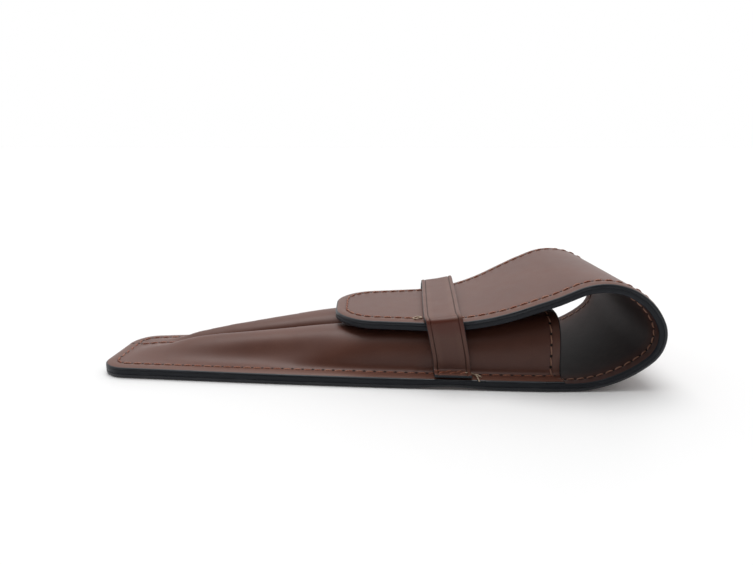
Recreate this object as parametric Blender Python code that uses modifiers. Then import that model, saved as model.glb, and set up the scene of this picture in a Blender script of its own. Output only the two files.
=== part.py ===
"""Double pen case in moulded leather, lying on its back with the flap closed.

X runs from the toe to the fold of the flap, Y across the case and Z up. The origin is on the
table, under the middle of the closed case. Sizes are in metres.

The back and the flap are cut from one strip of leather with one lining. The strip runs along
the table from the toe to the mouth, lifts, folds over and comes back as a tongue that passes
through the keeper. Here the strip is cut across where it bends when the flap is opened, and
each length turns on the hinge at its cut.
"""

import math

import bmesh
import bpy
from mathutils import Matrix, Vector

# Overall sizes of the closed case
CASE_LENGTH = 0.160
MOUTH_HALF_WIDTH = 0.0275
TOE_HALF_WIDTH = 0.0139
TOE_CORNER = 0.0070
SIDE_BOW = 0.0010
SIDE_RUN = 0.127
MOUTH_SETBACK = 0.0275

# Leather and thread
OUTER_LEATHER = 0.0012
LINING_LEATHER = 0.0009
FRONT_LEATHER = 0.0012
FACING_LEATHER = 0.0008
KEEPER_LEATHER = 0.0011
SEAT_GAP = 0.0003
CUT_GAP = 0.0003
THREAD_RADIUS = 0.00025
HOLE_DRAW = 0.6

# Flap: radii of the outer surface, from the mouth round to the tongue
LIFT_RADIUS = 0.0325
LIFT_TURN = math.radians(40.5)
FOLD_RADIUS = 0.0102
FOLD_TURN = math.radians(74.1)
CROWN_RADIUS = 0.0193
CROWN_TURN = math.radians(88.4)
DIP_RADIUS = 0.0642
TONGUE_REACH = 0.0288
TONGUE_HALF_WIDTH = 0.0158
TONGUE_CORNER = 0.0085
TAPER_RUN = 0.0620
TAPER_WAIST = 0.0008

# Keeper band
KEEPER_SETBACK = 0.0311
KEEPER_WIDTH = 0.0102
KEEPER_EDGE_INSET = 0.0002
KEEPER_TONGUE_PLAY = 0.0003
KEEPER_CORNER = 0.0010
KEEPER_FOOT_CORNER = 0.0014

# Two moulded channels of the front panel, as heights above its flange
FLANGE_WIDTH = 0.0046
VALLEY_HALF_WIDTH = 0.0012
CHANNEL_SQUARENESS = 3.0
MOUTH_RISE = 0.0163
KEEPER_RISE = 0.0116
MIDDLE_RISE = 0.0103
MIDDLE_FROM_TOE = 0.0700
SHOULDER_FROM_TOE = 0.0400
TOE_SWELL_FROM_TOE = 0.0200
NEAR_TOE_SWELL = 0.0047
NEAR_SHOULDER = 0.0076
FAR_TOE_SWELL = 0.0021
FAR_SHOULDER = 0.0058
SOFT_UNTIL = 0.0180
SQUARE_FROM = 0.0900
FACING_DEPTH = 0.0090

# Seams
STITCH_PITCH = 0.0030
SEAM_INSET = 0.0030
HEM_INSET = 0.0040

# Hinges of the flap: four by the heading of the outer surface where it is cut, one past the
# crown's end along the strip, and one to the right of the keeper
LIFT_HINGE_HEADING = math.radians(12)
FOLD_HINGE_HEADING = math.radians(50)
CROWN_HINGE_HEADING = math.radians(118.75)
SHOULDER_HINGE_HEADING = math.radians(160)
SLOPE_HINGE_RUN = 0.00635
KEEPER_TO_HINGE = 0.0034
THREAD_CUT_GAP = 0.0008

# Mesh fineness
ARC_STEP = math.radians(6)
CORNER_ROWS = 5
CHANNEL_POINTS = 13
PANEL_ROWS = 22
KEEPER_ROWS = 3
FILLET_POINTS = 4

# Sizes that follow
FLAP_THICKNESS = OUTER_LEATHER + SEAT_GAP + LINING_LEATHER
FLANGE_TOP = FLAP_THICKNESS + SEAT_GAP + FRONT_LEATHER
THREAD_STANDOFF = SEAT_GAP + 2 * THREAD_RADIUS
TOE_X = -(CASE_LENGTH + THREAD_STANDOFF) / 2
MOUTH_X = TOE_X + CASE_LENGTH - MOUTH_SETBACK
KEEPER_X = MOUTH_X - KEEPER_SETBACK
TIP_X = KEEPER_X - KEEPER_WIDTH / 2 - TONGUE_REACH
TONGUE_TOP = FLANGE_TOP + KEEPER_RISE + SEAT_GAP + FLAP_THICKNESS
DIP_TURN = LIFT_TURN + FOLD_TURN + CROWN_TURN - math.pi
LEATHER = (0.115, 0.042, 0.028, 1.0)
LINING = (0.045, 0.026, 0.020, 1.0)
THREAD = (0.230, 0.075, 0.035, 1.0)

for item in list(bpy.data.objects):
    bpy.data.objects.remove(item, do_unlink=True)
for old in list(bpy.data.collections):
    bpy.data.collections.remove(old)
case_parts = bpy.data.collections.new("double_pen_case")
bpy.context.scene.collection.children.link(case_parts)


def arc_rise(radius, start, turn):
    return radius * (math.cos(start) - math.cos(start + turn))


def strip_runs():
    """Lengths and turns of the outer surface, from the toe to the tip of the tongue."""
    lift_reach = LIFT_RADIUS * math.sin(LIFT_TURN)
    fold_reach = FOLD_RADIUS * (1 - math.sin(LIFT_TURN))
    back_run = CASE_LENGTH - lift_reach - fold_reach
    crown_end = (arc_rise(LIFT_RADIUS, 0, LIFT_TURN) + arc_rise(FOLD_RADIUS, LIFT_TURN, FOLD_TURN)
                 + arc_rise(CROWN_RADIUS, LIFT_TURN + FOLD_TURN, CROWN_TURN))
    dip_drop = DIP_RADIUS * (1 - math.cos(DIP_TURN))
    slope_run = (crown_end - dip_drop - TONGUE_TOP) / math.sin(DIP_TURN)
    runs = [
        (back_run, 0.0),
        (LIFT_RADIUS * LIFT_TURN, LIFT_TURN),
        (FOLD_RADIUS * FOLD_TURN, FOLD_TURN),
        (CROWN_RADIUS * CROWN_TURN, CROWN_TURN),
        (slope_run, 0.0),
        (DIP_RADIUS * DIP_TURN, -DIP_TURN),
    ]
    dip_end = place(sum(length for length, turn in runs), runs)[0]
    runs.append((dip_end - TIP_X, 0.0))
    return runs


def place(s, runs=None):
    """Point (x, z) and heading of the outer surface at s along the strip from the toe."""
    x, z, heading = TOE_X, 0.0, 0.0
    for length, turn in runs or STRIP_RUNS:
        step = min(s, length)
        angle = turn * step / length
        if turn:
            radius = length / turn
            x += radius * (math.sin(heading + angle) - math.sin(heading))
            z += radius * (math.cos(heading) - math.cos(heading + angle))
        else:
            x += step * math.cos(heading)
            z += step * math.sin(heading)
        heading += angle
        s -= step
        if s <= 0:
            break
    return x, z, heading


STRIP_RUNS = strip_runs()
STRIP_LENGTH = sum(length for length, turn in STRIP_RUNS)


def under_surface(s, y, depth):
    """Point of the strip at s and y, at a depth below its outer surface."""
    x, z, heading = place(s)
    return Vector((x - math.sin(heading) * depth, y, z + math.cos(heading) * depth))


def at_heading(heading):
    """Station where the outer surface first has this heading."""
    s = 0.0
    turned = 0.0
    for length, turn in STRIP_RUNS:
        if turn > 0 and turned + turn >= heading:
            return s + length * (heading - turned) / turn
        s += length
        turned += turn
    return s


def top_station(x):
    """Station of the upper side of the strip, between crown and tip, that lies above x."""
    low = at_heading(SHOULDER_HINGE_HEADING)
    high = STRIP_LENGTH
    for _ in range(40):
        middle = (low + high) / 2
        if place(middle)[0] > x:
            low = middle
        else:
            high = middle
    return low


def flap_top(x):
    """Height of the flap's outer surface above x."""
    return place(top_station(x))[1]


def corner_cut(distance, corner):
    """How far a round corner draws the side in, at a distance from the end."""
    if distance >= corner:
        return 0.0
    return corner - math.sqrt(max(corner ** 2 - (corner - distance) ** 2, 0.0))


def case_half_width(x, inset=0.0):
    """Half the width of the case at x, up to the mouth and beyond."""
    share = min((x - TOE_X) / SIDE_RUN, 1.0)
    side = TOE_HALF_WIDTH + (MOUTH_HALF_WIDTH - TOE_HALF_WIDTH) * share
    side += 4 * SIDE_BOW * share * (1 - share)
    return side - inset - corner_cut(x - TOE_X - inset, TOE_CORNER - inset)


def strip_half_width(s, inset=0.0):
    """Half the width of the strip at s: the case, the fold, then the tapering tongue."""
    from_tip = STRIP_LENGTH - s
    share = min(from_tip / TAPER_RUN, 1.0)
    taper = TONGUE_HALF_WIDTH + (MOUTH_HALF_WIDTH - TONGUE_HALF_WIDTH) * share
    taper -= TAPER_WAIST * math.sin(math.pi * share) ** 2
    taper -= inset + corner_cut(from_tip - inset, TONGUE_CORNER - inset)
    return min(case_half_width(TOE_X + s, inset), taper)


def monotone(knots, x):
    """Smooth curve through (x, height) knots that never overshoots them."""
    x = min(max(x, knots[0][0]), knots[-1][0])
    spans = [b[0] - a[0] for a, b in zip(knots, knots[1:])]
    rates = [(b[1] - a[1]) / span for a, b, span in zip(knots, knots[1:], spans)]
    slopes = [rates[0]]
    for left, right in zip(rates, rates[1:]):
        slopes.append(2 * left * right / (left + right) if left * right > 0 else 0.0)
    slopes.append(rates[-1])
    for i, span in enumerate(spans):
        if x <= knots[i + 1][0]:
            t = (x - knots[i][0]) / span
            return (knots[i][1] * (1 + 2 * t) * (1 - t) ** 2 + span * slopes[i] * t * (1 - t) ** 2
                    + knots[i + 1][1] * t * t * (3 - 2 * t) - span * slopes[i + 1] * t * t * (1 - t))
    return knots[-1][1]


def channel_rise(x, swell, shoulder):
    """Height of a channel's crest above the flange."""
    knots = [
        (TOE_X + FLANGE_WIDTH, 0.0),
        (TOE_X + TOE_SWELL_FROM_TOE, swell),
        (TOE_X + SHOULDER_FROM_TOE, shoulder),
        (TOE_X + MIDDLE_FROM_TOE, MIDDLE_RISE),
        (KEEPER_X, KEEPER_RISE),
        (MOUTH_X, MOUTH_RISE),
    ]
    return monotone(knots, x)


def squared(x):
    """0 where a channel's section is a soft bell, 1 where its walls stand up."""
    share = (x - TOE_X - SOFT_UNTIL) / (SQUARE_FROM - SOFT_UNTIL)
    share = min(max(share, 0.0), 1.0)
    return share * share * (3 - 2 * share)


def channel_section(x, side, shrink=0.0):
    """Points (y, z) over one channel, from its outer foot to the valley; side is -1 or 1."""
    outer = max(case_half_width(x) - FLANGE_WIDTH, VALLEY_HALF_WIDTH + SEAT_GAP) - shrink
    inner = VALLEY_HALF_WIDTH + shrink
    middle = (outer + inner) / 2
    reach = (outer - inner) / 2
    swells = (NEAR_TOE_SWELL, NEAR_SHOULDER) if side < 0 else (FAR_TOE_SWELL, FAR_SHOULDER)
    rise = max(channel_rise(x, *swells) - shrink, 0.0)
    power = 2 / CHANNEL_SQUARENESS
    points = []
    for i in range(CHANNEL_POINTS):
        u = 1 - 2 * i / (CHANNEL_POINTS - 1)
        angle = math.pi * i / (CHANNEL_POINTS - 1)
        soft = Vector((reach * u, rise * (0.5 + 0.5 * math.cos(math.pi * u))))
        across = math.copysign(abs(math.cos(angle)) ** power, math.cos(angle))
        upright = Vector((reach * across, rise * abs(math.sin(angle)) ** power))
        point = soft.lerp(upright, squared(x))
        points.append((side * (middle + point.x), FLANGE_TOP + point.y))
    return points


def material(name, colour, roughness):
    made = bpy.data.materials.new(name)
    made.use_nodes = True
    shader = made.node_tree.nodes["Principled BSDF"]
    shader.inputs["Base Color"].default_value = colour
    shader.inputs["Roughness"].default_value = roughness
    shader.inputs["Metallic"].default_value = 0.0
    made.diffuse_color = colour
    return made


def add_object(name, mesh_data, colour, roughness, parent=None):
    """Link a mesh made in world space, under its hinge when it has one."""
    made = bpy.data.objects.new(name, mesh_data)
    case_parts.objects.link(made)
    mesh_data.materials.append(material(name + "_material", colour, roughness))
    if parent:
        mesh_data.transform(Matrix.Translation(-parent.matrix_world.translation))
        made.parent = parent
    return made


def loft(name, rows):
    """Open surface of quads between rows of points."""
    build = bmesh.new()
    rings = [[build.verts.new(point) for point in row] for row in rows]
    for lower, upper in zip(rings, rings[1:]):
        for i in range(len(lower) - 1):
            build.faces.new((lower[i], upper[i], upper[i + 1], lower[i + 1]))
    bmesh.ops.recalc_face_normals(build, faces=build.faces)
    made = bpy.data.meshes.new(name)
    build.to_mesh(made)
    build.free()
    return made


def face_along(mesh_data, direction):
    """Turn an open surface over if its first face looks away from the direction."""
    if mesh_data.polygons[0].normal.dot(direction) < 0:
        mesh_data.flip_normals()


def thicken(made, thickness, grow_along_normals):
    solid = made.modifiers.new("thickness", "SOLIDIFY")
    solid.thickness = thickness
    solid.offset = 1.0 if grow_along_normals else -1.0
    solid.use_even_offset = True
    made.data.shade_smooth()
    made.data.set_sharp_from_angle(angle=math.radians(30))


def strip_stations(start, end):
    """Stations between two cuts, close enough together on the bends and round corners."""
    stations = {start, end}
    s = 0.0
    for length, turn in STRIP_RUNS:
        steps = max(1, math.ceil(abs(turn) / ARC_STEP))
        stations.update(s + length * i / steps for i in range(steps + 1))
        s += length
    for i in range(1, CORNER_ROWS + 1):
        share = 1 - math.cos(math.pi / 2 * i / CORNER_ROWS)
        stations.add(TOE_CORNER * share)
        stations.add(STRIP_LENGTH - TONGUE_CORNER * share)
    taper_steps = 8
    stations.update(STRIP_LENGTH - TAPER_RUN * i / taper_steps for i in range(1, taper_steps + 1))
    side_steps = 8
    mouth = MOUTH_X - TOE_X
    stations.update(mouth * i / side_steps for i in range(1, side_steps + 1))
    inside = sorted(s for s in stations if start <= s <= end)
    kept = [inside[0]]
    for s in inside[1:-1]:
        if s - kept[-1] > CUT_GAP and inside[-1] - s > CUT_GAP:
            kept.append(s)
    return kept + [inside[-1]]


def add_layer(name, start, end, depth, thickness, colour, roughness, parent=None):
    """One layer of the strip between two cuts."""
    rows = []
    for s in strip_stations(start, end):
        half = strip_half_width(s)
        rows.append([under_surface(s, -half, depth), under_surface(s, half, depth)])
    surface = loft(name, rows)
    heading = place(start)[2]
    face_along(surface, Vector((-math.sin(heading), 0, math.cos(heading))))
    made = add_object(name, surface, colour, roughness, parent)
    thicken(made, thickness, True)
    return made


def add_thread(name, places, parent=None):
    """One unbroken thread over its places, drawn thin at every hole between two stitches."""
    curve = bpy.data.curves.new(name, "CURVE")
    curve.dimensions = "3D"
    curve.bevel_depth = THREAD_RADIUS
    curve.bevel_resolution = 0
    curve.use_fill_caps = True
    spline = curve.splines.new("POLY")
    spline.points.add(len(places) - 1)
    origin = parent.matrix_world.translation if parent else Vector((0, 0, 0))
    for i, (position, normal) in enumerate(places):
        centre = position + normal * (SEAT_GAP + THREAD_RADIUS) - origin
        spline.points[i].co = (*centre, 1.0)
        spline.points[i].radius = HOLE_DRAW if i % 2 == 0 else 1.0
    made = bpy.data.objects.new(name, curve)
    case_parts.objects.link(made)
    curve.materials.append(material(name + "_material", THREAD, 0.75))
    made.parent = parent
    return made


def evenly(points, pitch):
    """Places a pitch apart along a polyline, each with the direction there."""
    lengths = [(b - a).length for a, b in zip(points, points[1:])]
    total = sum(lengths)
    count = int(total / pitch)
    offset = (total - (count - 1) * pitch) / 2 if count else 0
    places = []
    for i in range(count):
        left = offset + i * pitch
        for a, b, length in zip(points, points[1:], lengths):
            if left <= length:
                places.append((a.lerp(b, left / length), (b - a).normalized()))
                break
            left -= length
    return places


def seam_line():
    """Line of the edge seam in the flat strip, as (s, y), from the toe's middle to the tip's."""
    start = SEAM_INSET
    end = STRIP_LENGTH - SEAM_INSET
    fine = 12
    stations = [start + (TOE_CORNER - SEAM_INSET) * (1 - math.cos(math.pi / 2 * i / fine)) for i in range(fine)]
    steps = 120
    first = TOE_CORNER
    last = STRIP_LENGTH - TONGUE_CORNER
    stations += [first + (last - first) * i / steps for i in range(steps)]
    stations += [last + (end - last) * math.sin(math.pi / 2 * i / fine) for i in range(fine + 1)]
    line = [Vector((start, 0))]
    line += [Vector((s, -strip_half_width(s, SEAM_INSET))) for s in stations]
    line.append(Vector((end, 0)))
    return line


def strip_place(flat):
    """A place on the strip's outer surface at flat (s, y), with the normal that leaves it."""
    heading = place(flat.x)[2]
    return under_surface(flat.x, flat.y, 0.0), Vector((math.sin(heading), 0, -math.cos(heading)))


def mirrored(places):
    flip = Vector((1, -1, 1))
    return [(position * flip, normal * flip) for position, normal in places]


def fillet(corner, start, end, radius):
    """Points of a round right-angled corner between two unit directions that leave it."""
    centre = corner + (start + end) * radius
    points = []
    for i in range(FILLET_POINTS + 1):
        angle = math.pi / 2 * i / FILLET_POINTS
        points.append(centre - end * radius * math.cos(angle) - start * radius * math.sin(angle))
    return points


def keeper_wall(x):
    """Inner face of the keeper's wall at x: it clears the tongue and follows the case's edge."""
    widest = KEEPER_X + KEEPER_WIDTH / 2
    tongue = strip_half_width(top_station(widest)) + KEEPER_TONGUE_PLAY
    return tongue + case_half_width(x) - case_half_width(widest)


def keeper_section(x):
    """Inner surface of the keeper at x, from the near foot over the tongue to the far foot."""
    foot_tip = case_half_width(x) - KEEPER_EDGE_INSET
    wall = keeper_wall(x)
    base = FLANGE_TOP + SEAT_GAP
    top = flap_top(x) + THREAD_STANDOFF + SEAT_GAP
    up, down = Vector((0, 1)), Vector((0, -1))
    inward, outward = Vector((1, 0)), Vector((-1, 0))
    near = [Vector((-foot_tip, base))]
    near += fillet(Vector((-wall, base)), outward, up, KEEPER_FOOT_CORNER)
    near += fillet(Vector((-wall, top)), down, inward, KEEPER_CORNER)
    far = [Vector((-p.x, p.y)) for p in reversed(near)]
    return [Vector((x, p.x, p.y)) for p in near + far]


def foot_middle(x):
    """Place across the case of the middle of the flat of the keeper's foot at x."""
    return (keeper_wall(x) + KEEPER_FOOT_CORNER + case_half_width(x) - KEEPER_EDGE_INSET) / 2


def add_keeper():
    rows = []
    for i in range(KEEPER_ROWS):
        x = KEEPER_X + KEEPER_WIDTH * (i / (KEEPER_ROWS - 1) - 0.5)
        rows.append(keeper_section(x))
    surface = loft("keeper", rows)
    face_along(surface, Vector((0, 0, 1)))
    made = add_object("keeper", surface, LEATHER, 0.45)
    thicken(made, KEEPER_LEATHER, True)
    return made


def panel_stations():
    """Places along X of the front panel's rows, closer together at the round toe."""
    rows = [TOE_X + TOE_CORNER * (1 - math.cos(math.pi / 2 * i / CORNER_ROWS)) for i in range(CORNER_ROWS)]
    first = TOE_X + TOE_CORNER
    rows += [first + (MOUTH_X - first) * i / PANEL_ROWS for i in range(PANEL_ROWS + 1)]
    return rows


def add_front_panel():
    rows = []
    for x in panel_stations():
        half = case_half_width(x)
        section = [(-half, FLANGE_TOP)]
        section += channel_section(x, -1)
        section += reversed(channel_section(x, 1))
        section.append((half, FLANGE_TOP))
        rows.append([Vector((x, y, z)) for y, z in section])
    surface = loft("front_panel", rows)
    face_along(surface, Vector((0, 0, 1)))
    made = add_object("front_panel", surface, LEATHER, 0.45)
    thicken(made, FRONT_LEATHER, False)
    return made


def add_facing(name, side):
    """Strip that backs the front panel inside one pocket's mouth."""
    shrink = FRONT_LEATHER + SEAT_GAP
    foot = FLAP_THICKNESS + SEAT_GAP
    rows = []
    facing_rows = 4
    for i in range(facing_rows):
        x = MOUTH_X - FACING_DEPTH * (1 - i / (facing_rows - 1))
        section = channel_section(x, side, shrink)
        section = [(section[0][0], foot)] + section + [(section[-1][0], foot)]
        rows.append([Vector((x, y, z)) for y, z in section])
    surface = loft(name, rows)
    middle = surface.polygons[len(surface.polygons) // 2]
    if middle.normal.z < 0:
        surface.flip_normals()
    made = add_object(name, surface, LINING, 0.7)
    thicken(made, FACING_LEATHER, False)
    return made


def add_hinge(name, pivot, parent):
    """Empty on a hinge's axis, under the hinge before it."""
    hinge = bpy.data.objects.new(name, None)
    case_parts.objects.link(hinge)
    hinge.parent = parent
    hinge.location = pivot - parent.matrix_world.translation if parent else pivot
    bpy.context.view_layer.update()
    return hinge


def flap_hinges():
    """Stations and pivots of the six hinges, from the mouth to the tongue."""
    headings = (LIFT_HINGE_HEADING, FOLD_HINGE_HEADING, CROWN_HINGE_HEADING, SHOULDER_HINGE_HEADING)
    stations = [at_heading(heading) for heading in headings]
    slope = at_heading(math.pi + DIP_TURN) + SLOPE_HINGE_RUN
    tongue = top_station(KEEPER_X + KEEPER_WIDTH / 2 + KEEPER_TO_HINGE)
    stations += [slope, tongue]
    pivots = [under_surface(s, 0, FLAP_THICKNESS if s == slope else 0.0) for s in stations]
    return stations, pivots


FLAP_BODIES = ["lift", "fold", "crown", "shoulder", "slope", "tongue"]
cuts, pivots = flap_hinges()
hinges = []
for body, pivot in zip(FLAP_BODIES, pivots):
    hinges.append(add_hinge(body + "_hinge", pivot, hinges[-1] if hinges else None))
    print(body, "hinge at", [round(v, 5) for v in pivot])

lining_depth = OUTER_LEATHER + SEAT_GAP
names = ["back"] + ["flap_" + body for body in FLAP_BODIES]
starts = [0.0] + [cut + CUT_GAP / 2 for cut in cuts]
ends = [cut - CUT_GAP / 2 for cut in cuts] + [STRIP_LENGTH]
for name, start, end, hinge in zip(names, starts, ends, [None] + hinges):
    add_layer(name + "_outer", start, end, 0.0, OUTER_LEATHER, LEATHER, 0.45, hinge)
    add_layer(name + "_lining", start, end, lining_depth, LINING_LEATHER, LINING, 0.7, hinge)

add_front_panel()
add_facing("facing_near", -1)
add_facing("facing_far", 1)
add_keeper()

# Edge seam: on the flange of the case, then on the flap's outer surface; the keeper's feet break it
seam_places = [flat for flat, direction in evenly(seam_line(), STITCH_PITCH / 2)]
up = Vector((0, 0, 1))
keeper_reach = KEEPER_WIDTH / 2 + SEAT_GAP + THREAD_RADIUS
flange_places = [(Vector((TOE_X + flat.x, flat.y, FLANGE_TOP)), up) for flat in seam_places
                 if TOE_X + flat.x < MOUTH_X - SEAT_GAP]
toe_places = [spot for spot in flange_places if spot[0].x < KEEPER_X - keeper_reach]
side_places = [spot for spot in flange_places if spot[0].x > KEEPER_X + keeper_reach]
add_thread("thread_toe_seam", mirrored(toe_places)[::-1] + toe_places)
add_thread("thread_side_seam_near", side_places)
add_thread("thread_side_seam_far", mirrored(side_places))

limits = cuts + [STRIP_LENGTH]
for body, hinge, low, high in zip(FLAP_BODIES, hinges, limits, limits[1:]):
    places = [strip_place(flat) for flat in seam_places
              if low + THREAD_CUT_GAP < flat.x < high - THREAD_CUT_GAP]
    if body == "tongue":
        add_thread("thread_flap_tongue", places + mirrored(places)[::-1], hinge)
    else:
        add_thread("thread_flap_" + body + "_near", places, hinge)
        add_thread("thread_flap_" + body + "_far", mirrored(places), hinge)

# Mouth hem: a row over each channel, parallel to the mouth
hem_x = MOUTH_X - HEM_INSET
for name, side in (("near", -1), ("far", 1)):
    section = [Vector(point) for point in channel_section(hem_x, side)]
    hem_places = [(Vector((hem_x, point.x, point.y)), Vector((0, direction.y, -direction.x)) * side)
                  for point, direction in evenly(section, STITCH_PITCH / 2)[1:-1]]
    add_thread("thread_mouth_hem_" + name, hem_places)

# Centre seam: in the valley between the channels
centre_line = [Vector((TOE_X + 2 * SEAM_INSET, 0)), Vector((hem_x, 0))]
centre_places = [(Vector((point.x, 0, FLANGE_TOP)), up)
                 for point, direction in evenly(centre_line, STITCH_PITCH / 2)]
add_thread("thread_centre_seam", centre_places)

# Keeper tacks: a short row through each foot
foot_top = FLANGE_TOP + SEAT_GAP + KEEPER_LEATHER
tack_ends = [KEEPER_X - KEEPER_WIDTH / 2, KEEPER_X + KEEPER_WIDTH / 2]
tack_line = [Vector((x, foot_middle(x))) for x in tack_ends]
tack_places = [(Vector((point.x, -point.y, foot_top)), up)
               for point, direction in evenly(tack_line, STITCH_PITCH / 2)]
add_thread("thread_keeper_near", tack_places)
add_thread("thread_keeper_far", mirrored(tack_places))
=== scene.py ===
import math

import bmesh
import bpy
from mathutils import Matrix, Vector, kdtree, noise


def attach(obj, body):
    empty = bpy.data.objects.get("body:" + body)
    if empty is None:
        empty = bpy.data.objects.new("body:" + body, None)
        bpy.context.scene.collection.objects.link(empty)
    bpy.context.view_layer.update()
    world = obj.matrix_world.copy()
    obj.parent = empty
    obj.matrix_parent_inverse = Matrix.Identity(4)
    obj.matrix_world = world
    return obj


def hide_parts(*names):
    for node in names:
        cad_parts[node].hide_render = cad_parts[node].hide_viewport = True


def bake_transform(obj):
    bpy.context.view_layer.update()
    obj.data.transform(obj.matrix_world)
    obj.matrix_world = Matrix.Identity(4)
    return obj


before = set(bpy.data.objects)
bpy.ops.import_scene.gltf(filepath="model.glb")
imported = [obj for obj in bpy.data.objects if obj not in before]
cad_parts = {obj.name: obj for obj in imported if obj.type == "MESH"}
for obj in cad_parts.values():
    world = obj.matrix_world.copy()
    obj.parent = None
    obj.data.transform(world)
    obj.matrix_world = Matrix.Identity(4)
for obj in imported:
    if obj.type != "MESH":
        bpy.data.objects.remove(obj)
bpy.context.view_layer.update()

# Cut of the case, in metres; X runs from the toe to the fold of the flap
CASE_LENGTH = 0.160
MOUTH_HALF_WIDTH = 0.0275
TOE_HALF_WIDTH = 0.0139
TOE_CORNER = 0.0070
SIDE_BOW = 0.0010
TOE_LEAN_RUN = 0.030
TOE_LEAN_SLOPE = 0.085
TOE_LEAN_REACH = 0.0005
TOE_FAR_FLARE = 0.0014
SIDE_RUN = 0.127
TOE_X = -0.0804
MOUTH_X = 0.0521
KEEPER_X = 0.0210
TIP_X = -0.0122
MOUTH_STATION = MOUTH_X - TOE_X

# Layers, as depths from the outer face of the back
OUTER_LEATHER = 0.0012
LINING_TOP = 0.0024
FLAP_SWELL = 0.17
FLAP_SWELL_RUN = 0.018
FLANGE_TOP = 0.0034
GLUE_LINE = 0.00003
KEEPER_LEATHER = 0.0011
FACING_LEATHER = 0.0008
FACING_DEPTH = 0.0090

# Flap: radii of its outer face at the bends, and the outline of its tongue
LIFT_RADIUS = 0.0325
LIFT_TURN = math.radians(40.5)
FOLD_RADIUS = 0.0102
FOLD_TURN = math.radians(74.1)
CROWN_RADIUS = 0.0193
CROWN_TURN = math.radians(88.4)
DIP_RADIUS = 0.0642
TONGUE_TOP = 0.0182
TONGUE_HALF_WIDTH = 0.0158
TONGUE_CORNER = 0.0115
TAPER_RUN = 0.0620
TAPER_WAIST = 0.0008

# Moulded channels: heights above the flange, and the shapes of their sides along the case
FLANGE_WIDTH = 0.0046
VALLEY_HALF_WIDTH = 0.0012
CHANNEL_LEAST = 0.0003
CHANNEL_SQUARENESS = 3.0
CHANNEL_TURN = 0.6
MOUTH_RISE = 0.0168
KEEPER_RISE = 0.0119
CRESTS = {
    -1: ((0.0100, 0.0012), (0.0150, 0.0022), (0.0190, 0.0035), (0.0235, 0.0049), (0.0280, 0.0058),
         (0.0385, 0.0070), (0.0480, 0.0081), (0.0700, 0.0106)),
    1: ((0.0130, 0.0006), (0.0180, 0.0019), (0.0225, 0.0034), (0.0400, 0.0068), (0.0700, 0.0107)),
}
OUTER_SOFT_UNTIL = 0.0400
OUTER_SQUARE_FROM = 0.0850
INNER_SOFT_UNTIL = 0.0100
INNER_SQUARE_FROM = 0.0500
SOFT_PEAK = {-1: -0.45, 1: 0.0}
VALLEY_MARGIN = 0.0030
VALLEY_DRIFT = 0.0036
VALLEY_DRIFT_RUN = 0.075
VALLEY_VEER = 0.0022
VALLEY_VEER_RUN = 0.025
VALLEY_LIFT = 0.0010
VALLEY_LIFT_REACH = 0.004
VALLEY_LIFT_RISES = (0.004, 0.014)
VALLEY_LIFT_ENDS = (0.070, 0.100)
HAND_WAVES = 0.00010
HAND_WAVES_RISE = (0.0005, 0.005)
HAND_WAVE_SIZES = (90, 220)

# Keeper band; its leans are (share of its length from the near foot, push along the case)
KEEPER_WIDTH = 0.0105
KEEPER_FOOT_REACH = 0.0033
KEEPER_FAR_LEAN = 0.0012
KEEPER_PLAY = 0.00035
KEEPER_SIDE_PLAY = 0.0003
KEEPER_FAR_RISE = 0.0010
KEEPER_MIDDLE = 0.0418
KEEPER_CREASE = 0.00125
KEEPER_CREASE_DEPTH = 0.00022
KEEPER_CREASE_WIDTH = 0.00013
KEEPER_BEAD = 0.00008
KEEPER_BEAD_WIDTH = 0.0004
KEEPER_WAVES = 0.00006
KEEPER_WAVE_SIZE = 180
KEEPER_DROP = 0.0046
KEEPER_BENDS = (0.0010, 0.0020, 0.0016, 0.0016, 0.0020, 0.0010)
KEEPER_LEANS = (
    (0.0, 0.0003), (0.06, 0.0003), (0.24, -0.0028), (0.75, 0.0006), (0.94, 0.0), (1.0, 0.0),
)
KEEPER_WAIST = 0.035
KEEPER_WAIST_AT = 0.25
KEEPER_WAIST_RUN = 0.15
KEEPER_EASING = (-0.03, -0.015, 0.0, 0.015, 0.03)

# Pinch of the case's edge under the keeper's tacks
PINCH = 0.0008
PINCH_RUN = 0.0080
PINCH_REACH = 0.0060

# Loose ends of the thread, at the near foot and on the tongue, as lines of points
KEEPER_THREAD_ENDS = (
    ((0.0247, -0.0241, 0.0046), (0.0260, -0.0236, 0.0043),
     (0.0270, -0.0231, 0.0040), (0.0276, -0.0229, 0.0034)),
    ((0.0275, -0.0230, 0.0034), (0.0277, -0.0240, 0.0040),
     (0.0280, -0.0254, 0.0038), (0.0284, -0.0264, 0.0029)),
    ((0.0276, -0.0230, 0.0034), (0.0281, -0.0238, 0.0040),
     (0.0288, -0.0247, 0.0037), (0.0292, -0.0250, 0.0036)),
)
TONGUE_THREAD_ENDS = (
    ((0.0104, -0.0166, 0.0183), (0.0116, -0.0160, 0.0187), (0.0130, -0.0165, 0.0186)),
    ((0.0106, -0.0174, 0.0183), (0.0118, -0.0178, 0.0186), (0.0129, -0.0172, 0.0187)),
)

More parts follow.
